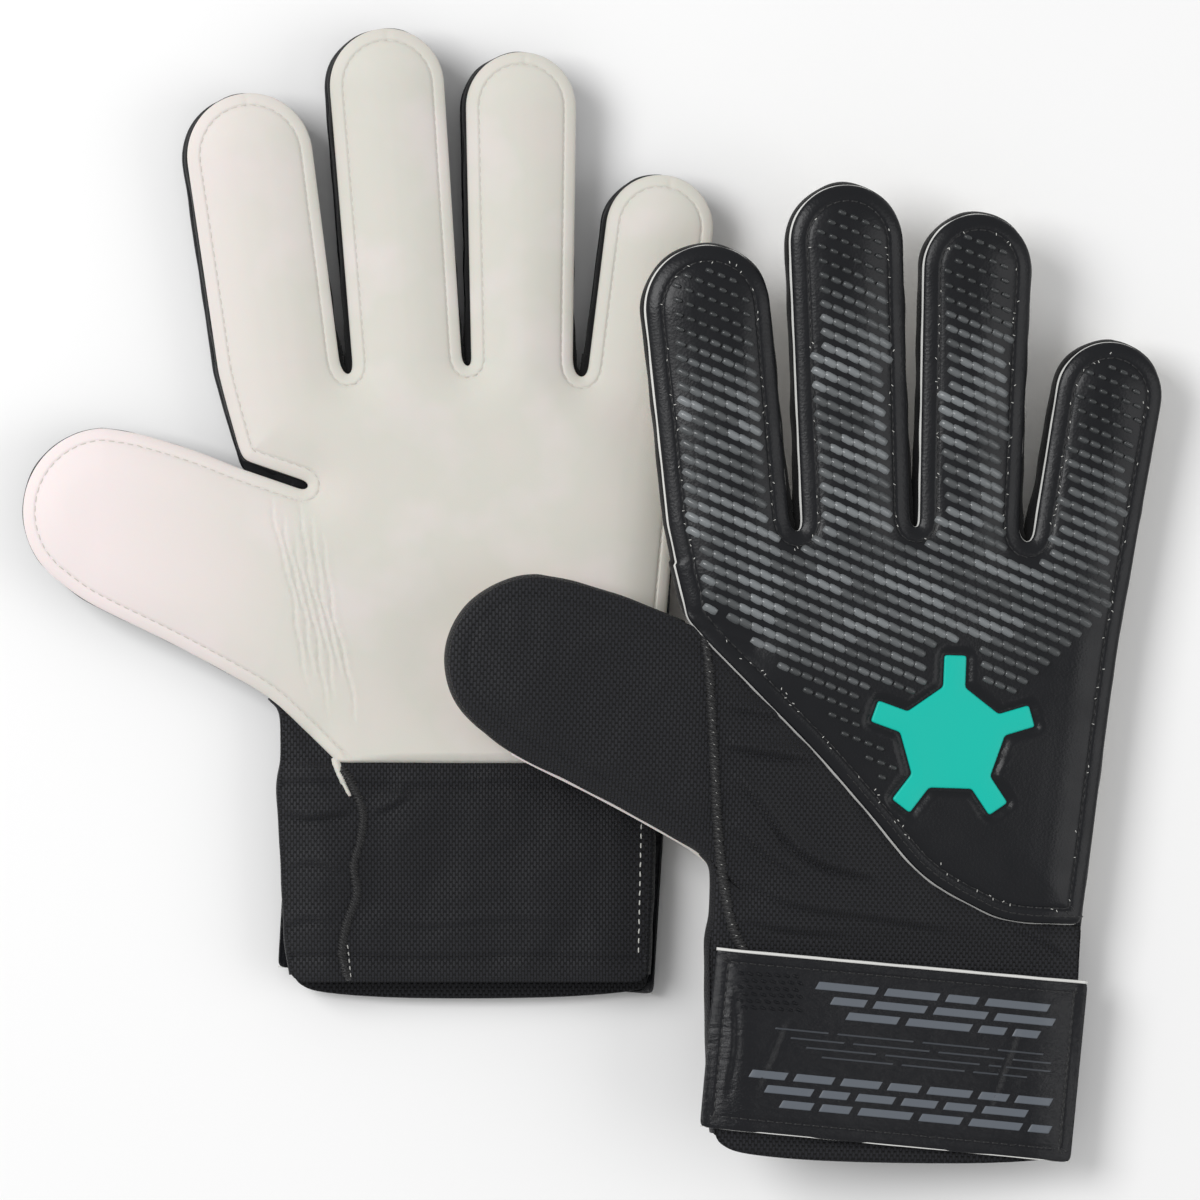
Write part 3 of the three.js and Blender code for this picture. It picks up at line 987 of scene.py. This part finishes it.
MATERIALS = {
    "latex": latex_finish(),
    "foam": foam_finish(),
    "ridge": ridge_finish(),
    "mesh": mesh_finish(),
    "knit": grained("gusset", "#070708", 0.85, 160, 3, 0.0003, 0.8, Sheen_Weight=0.1, Specular_IOR_Level=0.2),
    "core": grained("foam_core", "#d9d9d6", 0.7, 200, 2, 0.0001, 0.5),
    "lining": grained("lining", "#2b2c30", 0.9, 120, 2, 0.0002, 0.6, Sheen_Weight=0.3),
    "emblem": grained("emblem", "#08bcab", 0.42, 90, 2, 0.00004, 0.4, Specular_IOR_Level=0.3),
    "strap": strap_finish(),
    "print": Finish("strap_print", "#5b6169", 0.42).material,
    "print_dark": Finish("strap_print_dark", "#34383e", 0.42).material,
    "black_thread": Finish("black_thread", "#0f0f11", 0.5, Sheen_Weight=0.15).material,
    "pale_thread": Finish("pale_thread", "#c9c9c4", 0.6, Sheen_Weight=0.3).material,
    "latex_thread": Finish("latex_thread", "#c6c0b8", 0.6).material,
    "loops": Finish("loop_pile", "#1b1b1e", 0.95, Sheen_Weight=0.6).material,
    "hooks": Finish("hook_tape", "#0e0e10", 0.45).material,
}


# ---------------- surfaces of a glove


def rise_at(profile, inset):
    """How far a face stands out at distances from its edge."""
    return np.interp(inset, *xy(profile).T)


def ring_places(profile):
    """The lines of points that a face needs along its edge."""
    return [place for place, _ in profile if 0 < place < 7]


def palm_creases():
    """The long creases at the root of the thumb."""
    lines = []
    for i in range(THUMB_CREASES):
        y = np.linspace(75 - 5 * (i % 3), 11 + 7 * ((i + 1) % 3), 25)
        shift = (i - (THUMB_CREASES - 1) / 2) * 2.3
        wave = 0.3 * np.sin(y / 2.3 + 2.4 * i) + 0.5 * np.sin(y / 6.1 + 0.8 * i)
        lines.append(np.column_stack([-50 + 12 * (74 - y) / 62 + shift + wave, y]))
    return lines


def palm_depth(points, seam, edge):
    """The outer face of the latex: a rolled seam band, a stitched groove and a soft crown.

    seam is the distance to the sewn edge, and edge to any edge.
    """
    crown = np.minimum(rise_at(PALM_RISE, seam), np.interp(edge, [0, 0.4, 1.2, 3], [0, 1.2, 1.8, 3]))
    depth = PALM_FACE + crown + 0.22 * waves(points, 38, 11) * ease(seam, 8)
    for line in palm_creases():
        depth += fold(points, line, 0.55, -0.55) + fold(points, line + xy((0.95, 0)), 0.5, 0.25)
    for finger in FINGERS.values():
        _, tip, along, across = finger_frame(finger)
        ahead, aside = (points - tip) @ along, (points - tip) @ across
        depth -= 0.45 * bell(aside - 1, 0.5) * (ahead > 0) * (seam < 3.6)
    return depth


def foam_depth(points, inset, pocket=True):
    """The outer face of the back: a puffed border, a stitched groove and a padded middle."""
    depth = FOAM_FACE - rise_at(FOAM_RISE, inset)
    depth += 0.18 * waves(points, 34, 23) * ease(inset, 8)
    if not pocket:
        return depth
    out = Distance(emblem_loop())(points) * np.where(inside(points, emblem_loop()), -1, 1)
    return depth + np.interp(out, [-1, 0.3, 1.1, 2.0, 3.0], [0.9, 0.9, 0.75, -0.1, 0])


def back_mesh_depth(points, inset, folds):
    """The mesh of the back: under the foam, loose over the hand and flat under the strap."""
    t = ease(6 - points[:, 1], 14)
    depth = 2.6 + 1.2 * smooth(t) - 1.1 * ease(inset, 14) * (1 - t)
    depth += 0.25 * waves(points, 30, 31) * (1 - t) * ease(inset, 6)
    depth += 1.6 * bell(Distance(curve(FOAM_EDGE), closed=False)(points), 3.5)
    depth -= relief(folds, points) * (1 - 0.6 * t)
    for line, height in BACK_FOLDS:
        depth -= crease(points, line, height)
    depth += 0.5 * bell(points[:, 1] + 61.5, 0.8)
    depth += 0.55 * bell(inset - 4.6, 0.55) * (points[:, 0] < -62)
    return depth + 0.5 * np.interp(inset, [0, 0.5, 1.5], [1, 0.35, 0])


def cuff_palm_depth(points, inset, folds):
    """The mesh of the cuff on the palm side, with a turned hem at each end."""
    depth = 14.6 + 1.3 * ease(inset, 16)
    depth += 0.25 * waves(points, 26, 41) * ease(inset, 6)
    depth += relief(folds, points)
    for y in CUFF_HEMS:
        depth -= 0.9 * bell(points[:, 1] - y - 0.4 * np.sin(points[:, 0] / 9), 0.7)
    for line, height in CUFF_FOLDS:
        depth += crease(points, line, height)
    return depth - 0.5 * np.interp(inset, [0, 0.5, 1.5], [1, 0.35, 0])


def add_palm(glove, pitch):
    creases = [(resample(line, 0.8), (-0.9, -0.45, 0, 0.45, 0.9), False) for line in palm_creases()]
    flat = FlatMesh(palm_loop(), ring_places(PALM_RISE), pitch, creases)
    seam = Distance(palm_seam(), closed=False)
    outer = palm_depth(flat.points, seam(flat.points), flat.depth_in)
    inner = np.minimum(outer - 1.6, 13.0 + 1.8 * ease(flat.depth_in, 8))
    shell(
        glove, "latex", flat, outer, inner, [(0.12, 14.3, 0), (0.12, 13.4, 0)], ["latex"],
        lambda part: ["palm_latex"] if part == "hand" else [f"{part}_palm"],
        flare=latex_flare if glove.flipped else None,
    )


def latex_flare(points, outward):
    """The latex of the right glove shows along the lower edge of its thumb."""
    low = (outward[:, 1] < -0.5) & (points[:, 1] < 60) & (points[:, 0] < -48) & (points[:, 0] > -108)
    return np.where(low, 10.0, 1.0)


def add_foam(glove, pitch):
    motif = (emblem_loop(), (-0.4, 0, 0.4, 0.9, 1.4, 2.0, 2.8), True)
    flat = FlatMesh(foam_loop(), ring_places(FOAM_RISE), pitch, [motif])
    outer = foam_depth(flat.points, flat.depth_in)
    rim = [(0.35, 4.4, 0), (0.62, 3.8, 0), (0.08, 2.75, 1)]
    shell(
        glove, "foam", flat, np.full(len(outer), 4.6), outer, rim, ["foam", "core"],
        lambda part: ["backhand_panel"] if part == "hand" else [f"{part}_back"], flare=core_flare,
    )


def core_flare(points, outward):
    """The pale core shows most along the edges that face the thumb and the wrist."""
    facing = np.clip(-outward[:, 0] - 0.5 * outward[:, 1], 0, 1)
    return 0.25 + 0.5 * facing + 0.12 * waves(points, 9, 52)


def add_back_mesh(glove, pitch):
    flat = FlatMesh(back_mesh_loop(), MESH_RINGS, pitch)
    outer = back_mesh_depth(flat.points, flat.depth_in, glove.back_folds)

    def part_of(points):
        parts = digit_of(points)
        parts[parts != "thumb"] = "hand"
        parts[(points[:, 1] < -6.2) & (parts == "hand")] = "cuff"
        return parts

    nodes = {"hand": ["back_mesh_panel"], "cuff": ["cuff_back_panel"]}
    shell(
        glove, "back_mesh", flat, np.maximum(outer + 0.8, 4.6), outer, [(0.1, 4.3, 0), (0.1, 3.6, 0)],
        ["mesh"], lambda part: nodes.get(part, []), part_of,
    )


def add_cuff_palm(glove, pitch):
    flat = FlatMesh(cuff_palm_loop(), MESH_RINGS, pitch)
    outer = cuff_palm_depth(flat.points, flat.depth_in, glove.cuff_folds)
    inner = np.minimum(outer - 0.8, 14.9)
    outer = np.where(flat.points[:, 1] > -0.5, np.minimum(outer, 14.4), outer)
    shell(
        glove, "cuff_palm", flat, outer, np.minimum(inner, outer - 0.5), [(0.1, 14.3, 0)],
        ["mesh"], lambda _: ["cuff_palm_panel"], only("hand"),
    )


def add_gussets(glove):
    """The walls of knit that join the palm to the back."""
    profile = xy(GUSSET) - xy((0 if glove.flipped else 0.5, 0))
    for name, finger in FINGERS.items():
        line = resample(finger_edge(finger), 1.2)
        base, _, along, across = finger_frame(finger)
        between = {"little": -1, "index": 1}.get(name, 0) * ((line - base) @ across) >= 0
        swell = 1.7 * np.exp(-((line - base) @ along) / 22) * between
        band(glove, f"{name}_wall", line, profile, "knit", name, [f"{name}_gusset"], wobble=0.25, swell=swell)
    fingers = list(FINGERS.items())
    for (one, before), (other, after), lowest in zip(fingers, fingers[1:], VALLEYS):
        start = base_corner(before, -1) + finger_frame(before)[2] * 3
        end = base_corner(after, 1) + finger_frame(after)[2] * 3
        line = resample(np.vstack([start, valley(before, after, lowest), end]), 1.0)
        band(glove, f"{one}_{other}_web", line, profile, "knit", "hand", wobble=0.1, swell=1.7)
    index = FINGERS["index"]
    start = base_corner(index, -1) + finger_frame(index)[2] * 3
    inner = np.vstack([start, base_corner(index, -1), INDEX_SIDE, slot_edges()[:-1]])
    band(glove, "crotch_wall", resample(inner, 1.0), profile, "knit", "hand", ["inner_gusset"], wobble=0.08)
    thumb = thumb_edge()
    thumb = thumb[thumb[:, 0] < -56]
    band(glove, "thumb_wall", resample(thumb, 1.2), profile, "mesh", "thumb", ["thumb_gusset"], wobble=0.12)
    outer = np.vstack([CUFF_LITTLE_SIDE, curve(HAND_SIDE), base_corner(FINGERS["little"], 1)])
    inner = np.vstack([[(-57, 18.6)], CUFF_THUMB_SIDE])
    sides = [("outer_wall", outer, "outer_gusset"), ("cuff_wall", inner, "cuff_thumb_gusset")]
    for name, side, node in sides:
        band(glove, name, resample(curve(side), 1.2), CUFF_GUSSET, "mesh", "hand", [node], wobble=0.15)


def add_linings(glove):
    """The two layers of soft knit that the hand slides between."""
    outline = closed_loop(
        [(49, -60), (49.4, 0), (55, 63), (58, 98), (50, 104), (-58, 104), (-61, 92), (-44.5, 82), (-43, 74),
         (-53, 22), (-50, 0), (-50.5, -60)]
    )
    flat = FlatMesh(outline, (1.0,), 3.0)
    puff = 0.7 * ease(flat.depth_in, 10)
    sag = 0.25 * waves(flat.points, 30, 61)
    for side, lower in (("palm", 12.0 + puff + sag), ("back", 5.2 + sag)):
        name, nodes = f"{side}_knit", [f"{side}_lining"]
        shell(glove, name, flat, lower + 0.6, lower, [], ["lining"], lambda _: nodes, only("hand"))


def only(part):
    """Puts a whole shell in one part."""
    return lambda points: np.full(len(points), part, dtype=object)


def add_emblem(glove):
    loop = emblem_loop(-0.25)
    flat = FlatMesh(loop, (0.25, 0.6), 1.5)
    foam = Distance(foam_loop())
    top = foam_depth(flat.points, foam(flat.points), pocket=False)
    top += np.interp(flat.depth_in, [0, 0.25, 0.6, 3], [0.45, 0.2, 0.1, 0.0])
    shell(
        glove, "motif", flat, top + 1.2, top, [], ["emblem"], lambda _: ["emblem"], part_of=only("hand")
    )


def add_ridges(glove):
    """Slanting rows of raised dashes, printed in greys that break up like camouflage."""
    loop = foam_loop()
    edge = Distance(loop)
    along = xy((math.cos(RIDGE_SLOPE), math.sin(RIDGE_SLOPE)))
    over = xy((-along[1], along[0]))
    row, column = (g.ravel() for g in np.meshgrid(np.arange(-10, 70), np.arange(-50, 40)))
    centres = column[:, None] * RIDGE_PITCH * along + row[:, None] * RIDGE_ROW * over
    centres = centres + ((row % 2) * RIDGE_PITCH / 2)[:, None] * along
    keep = inside(centres, loop)
    centres, row, column = centres[keep], row[keep], column[keep]
    above_plain = (centres - PLAIN_LINE[0]) @ left_normals(xy(PLAIN_LINE))[0] > 0
    keep = (edge(centres) > 5.9) & above_plain
    keep &= Distance(curve(FOAM_EDGE), closed=False)(centres) > 9
    keep &= (Distance(emblem_loop())(centres) > 4) & ~inside(centres, emblem_loop())
    centres, row, column = centres[keep], row[keep], column[keep]
    below_tip = np.full(len(centres), 90.0)
    for name, finger in FINGERS.items():
        _, tip, direction, _ = finger_frame(finger)
        here = digit_of(centres) == name
        below_tip[here] = finger["radius"] - (centres[here] - tip) @ direction
    bold = ease(below_tip - 20, 22) * ease(centres[:, 1] - 58, 22)
    levels = glove.rng.choice([0.12, 0.4, 0.75, 1.0], size=(60, 60), p=[0.25, 0.25, 0.3, 0.2])
    camo = levels[(row // 2) % 60, ((column + (row // 2) % 3) // 3) % 60]
    far_side = 1 - 0.55 * ease(centres[:, 0] - 20, 25)
    shade = 0.038 + 0.155 * np.clip(bold * 1.2 - 0.2, 0, 1) * far_side * (0.15 + 0.85 * camo)
    angles = np.full(len(centres), RIDGE_SLOPE) - np.radians(7) * bold
    beads(
        glove, "ridges", centres, angles, 2.4 + 2.0 * bold, 1.6 + 0.85 * bold, -1.0,
        lambda p: foam_depth(p, edge(p), pocket=False), "ridge", shades=shade, blunt=True,
    )


def add_strap(glove):
    loop = closed_loop(xy(STRAP), rounding=4)
    flat = FlatMesh(loop, ring_places(STRAP_RISE), 1.0)
    outer = strap_depth(flat.points, flat.depth_in)
    shell(
        glove, "strap", flat, outer + 1.3, outer, [(0.1, 1.7, 0)], ["strap"],
        lambda _: ["strap"], part_of=only("strap"),
    )
    edge = Distance(loop)

    def surface(points):
        return strap_depth(points, edge(points))

    low_left, low_right, high_right, high_left = xy(STRAP)
    top, low = [high_right, high_left], [low_left, low_right]
    for name, ends, section in (
        ("strap_top_edge", top, [(0.15, 1.1), (0.2, 2.1), (-0.7, 2.2), (-0.6, 0.9)]),
        ("strap_low_edge", low, [(0.02, 1.3), (0.08, 2.0), (-0.3, 2.1), (-0.25, 1.2)]),
    ):
        band(glove, name, resample(xy(ends), 1.2), section, "core", "strap", wobble=0.1)
    sewn, end = inset_line(loop, STRAP_GROOVE), xy([(47.3, -62), (50.2, -18)])
    thread = {"surface": surface, "material": "black_thread", "part": "strap"}
    stitches(glove, "strap_stitch", sewn, 2.6, 1.9, 0.5, -0.3, closed=True, **thread)
    stitches(glove, "strap_end_stitch", end, 2.2, 1.6, 0.5, -0.3, **thread)
    add_strap_print(glove, surface)
    column, row = (g.ravel() for g in np.meshgrid(np.arange(7), np.arange(6)))
    bumps = np.column_stack([-46 + 2.6 * column + 1.3 * (row % 2), -14.5 - 1.9 * row - 0.07 * column])
    turns = np.full(len(bumps), -0.4)
    beads(glove, "strap_bumps", bumps, turns, 1.9, 0.9, -0.7, surface, "strap", "strap")
    add_pad(glove, "hook", HOOK_PAD, 2.6, 2.05, "strap")
    add_pad(glove, "loop", LOOP_PAD, 3.6, 3.1, "hand")


def add_pad(glove, kind, corners, upper, lower, part):
    """One half of the touch fastener, between two depths."""
    flat = FlatMesh(closed_loop(xy(corners)), (0.8,), 2.0)
    upper, lower = (np.full(len(flat.points), depth) for depth in (upper, lower))
    shell(
        glove, f"{kind}_tape", flat, upper, lower, [], [f"{kind}s"],
        lambda _: [f"{kind}_pad"], only(part),
    )


def strap_depth(points, inset):
    """The outer face of the strap: rolled edges, a stitched border and a few creases."""
    depth = STRAP_FACE - rise_at(STRAP_RISE, inset) + 0.12 * waves(points, 30, 71)
    for line, height in STRAP_CREASES:
        depth -= fold(points, line, 0.8, height) + fold(points, xy(line) + xy((1.6, 0)), 0.8, -0.8 * height)
    return depth


def add_strap_print(glove, surface):
    """Slanting speed lines in broken strokes: two groups of bold ones, with fine ones between them."""
    bold, fine = ("print", 3, 3.9, 2.2, 7, 19), ("print_dark", 4, 2.3, 0.5, 12, 30)
    for index, (top, start, group) in enumerate(((-18, -25, bold), (-32, -36, fine), (-44.5, -43, bold))):
        material, lines, pitch, width, shortest, longest = group
        strokes = []
        for line in range(lines):
            y = top - pitch * line
            x = start + 4.5 * line
            while x < 38:
                end = min(x + glove.rng.uniform(shortest, longest), 44)
                low, high = y - 0.072 * x, y - 0.072 * end
                lean = 0.55 * width
                lower, upper = [(x, low - width), (end, high - width)], [(end + lean, high), (x + lean, low)]
                strokes.append(xy(lower + upper))
                x = end + 2.2
        decals(glove, f"strap_print_{index}", strokes, surface, material)


def decals(glove, name, quads, surface, material):
    """Thin raised films in the shape of quads, lying on the outer face of the strap."""
    steps = np.concatenate([[0, 0.04], np.linspace(0.15, 0.85, 6), [0.96, 1]])
    s, t = (g.ravel()[:, None] for g in np.meshgrid(steps, steps))
    n = len(steps)
    rim = ((s == 0) | (s == 1) | (t == 0) | (t == 1))[:, 0]
    flat = np.vstack([(a * (1 - s) + b * s) * (1 - t) + (d * (1 - s) + c * s) * t for a, b, c, d in quads])
    corners = [k for k in range(len(flat) - n) if k % n < n - 1 and k % (n * n) < n * (n - 1)]
    faces = [(k, k + 1, k + n + 1, k + n) for k in corners]
    depth = surface(flat) + np.where(np.tile(rim, len(quads)), 0.06, -0.16)
    if not glove.flipped:
        faces = [f[::-1] for f in faces]
    row = glove.to_row(np.column_stack([flat, depth]), strap=True)
    obj = make_object(f"{glove.side}_{name}", row, faces, [material], None, flat)
    attach(glove, obj, "strap")


def add_seams(glove):
    """Stitching and overlocked seams on both faces of the glove."""
    foam = foam_loop()
    on_edge, on_seam, on_foam = Distance(palm_loop()), Distance(palm_seam(), closed=False), Distance(foam)
    cuff, mesh = Distance(cuff_palm_loop()), Distance(back_mesh_loop())

    def palm(points):
        return palm_depth(points, on_seam(points), on_edge(points))

    def back(points):
        return foam_depth(points, on_foam(points))

    def cuff_face(points):
        return cuff_palm_depth(points, cuff(points), glove.cuff_folds)

    def mesh_face(points):
        return back_mesh_depth(points, mesh(points), glove.back_folds)

    def sew_on_hand(name, line, pitch, length, width, height, surface, material, lean=0.0):
        stitches(glove, name, xy(line), pitch, length, width, height, surface, material, "hand", lean)

    thread, pale = "black_thread", "pale_thread"
    sewn = palm_seam()
    sewn = (sewn + left_normals(sewn) * PALM_GROOVE)[14:-14]
    stitches(glove, "palm_stitch", sewn, 2.7, 1.8, 0.4, 0.3, palm, "latex_thread")
    foam_groove = inset_line(foam, FOAM_GROOVE)
    stitches(glove, "foam_stitch", foam_groove, 2.5, 1.9, 0.45, -0.3, back, thread, closed=True)
    hem = curve(FOAM_EDGE)[60:]
    hem = hem + left_normals(hem) * 2.2
    cuff_seam, side_seam = curve(CUFF_SEAM), curve(SIDE_SEAM)
    sew_on_hand("hem_stitch", hem, 2.5, 1.9, 0.5, -0.3, back, thread)
    sew_on_hand("cuff_seam", cuff_seam, 0.8, 3.0, 0.95, 1.1, cuff_face, thread, 62)
    sew_on_hand("cuff_seam_core", cuff_seam, 1.6, 2.6, 1.9, 0.9, cuff_face, thread)
    sew_on_hand("cuff_seam_end", [(-34.7, -52), (-33.9, -60)], 2.0, 1.2, 0.4, 1.0, cuff_face, pale)
    sew_on_hand("cuff_end_stitch", [(48.4, -18), (47.6, -53)], 2.6, 1.5, 0.45, 0.3, cuff_face, pale)
    sew_on_hand("side_seam", side_seam, 0.9, 3.2, 1.1, -1.5, mesh_face, thread, 62)
    sew_on_hand("side_seam_core", side_seam, 1.6, 2.8, 2.4, -1.4, mesh_face, thread)
    sew_on_hand("side_seam_specks", side_seam, 3.4, 0.9, 0.3, -1.9, mesh_face, pale, 50)
    tail = xy([(-37.6, -1), (-36.6, -4), (-35.2, -7)])
    turns, widths = np.radians([-70, -66, -62]), xy([2.4, 1.9, 1.3])
    beads(glove, "latex_tail", tail, turns, 5.5, widths, 0.9, cuff_face, "latex", "hand")
    specks = resample(foam_groove, 1.7, closed=True)
    specks = specks[glove.rng.uniform(size=len(specks)) < 0.3]
    specks = specks + glove.rng.normal(0, 0.45, specks.shape)
    turns = glove.rng.uniform(0, math.pi, len(specks))
    beads(glove, "foam_lint", specks, turns, 0.75, 0.28, -0.35, back, pale)


def add_glove(glove):
    """Fine meshes go where the photo looks, and coarser ones on the faces that lie down."""
    fine, coarse = 1.1, 1.8
    add_palm(glove, coarse if glove.flipped else fine)
    add_foam(glove, fine if glove.flipped else coarse)
    add_back_mesh(glove, fine if glove.flipped else coarse)
    add_cuff_palm(glove, coarse if glove.flipped else fine)
    add_gussets(glove)
    add_linings(glove)
    add_emblem(glove)
    add_ridges(glove)
    add_strap(glove)
    add_seams(glove)


# ---------------- floor, light and camera


def add_floor():
    bpy.ops.mesh.primitive_plane_add(size=FLOOR_SIZE)
    floor = bpy.context.object
    floor.name = "floor"
    floor.data.materials.append(Finish("floor_white", "#f4f4f4", 0.9).material)


def add_light(name, power, size, place, aim):
    light = bpy.data.lights.new(name, "AREA")
    light.energy = power
    light.size = size
    obj = bpy.data.objects.new(name, light)
    obj.location = place
    obj.rotation_euler = (Vector(aim) - Vector(place)).to_track_quat("-Z", "Y").to_euler()
    bpy.context.scene.collection.objects.link(obj)


def add_camera(centre):
    camera = bpy.data.cameras.new("camera")
    camera.sensor_width = 36
    camera.lens = camera.sensor_width * CAMERA_HEIGHT / VIEW_WIDTH
    obj = bpy.data.objects.new("camera", camera)
    obj.location = (centre[0], centre[1], CAMERA_HEIGHT)
    bpy.context.scene.collection.objects.link(obj)
    bpy.context.scene.camera = obj


def add_stage(glove):
    add_floor()
    add_light("key_light", 24, 1.0, (-1.1, 0.5, 1.5), (0, 0, 0))
    add_light("fill_light", 7, 1.2, (1.5, -0.2, 1.1), (0, 0, 0))
    world = bpy.context.scene.world or bpy.data.worlds.new("world")
    bpy.context.scene.world = world
    world.use_nodes = True
    world.node_tree.nodes["Background"].inputs["Color"].default_value = grey(1)
    world.node_tree.nodes["Background"].inputs["Strength"].default_value = 0.5
    bpy.context.scene.view_settings.view_transform = "Standard"
    add_camera(glove.to_row([[*VIEW_CENTRE, 0]])[0])


for default in ("Cube", "Light", "Camera"):
    if default in bpy.data.objects:
        bpy.data.objects.remove(bpy.data.objects[default])
gloves = [Glove(side) for side in ("left", "right")]
for glove in gloves:
    add_glove(glove)
add_stage(gloves[0])
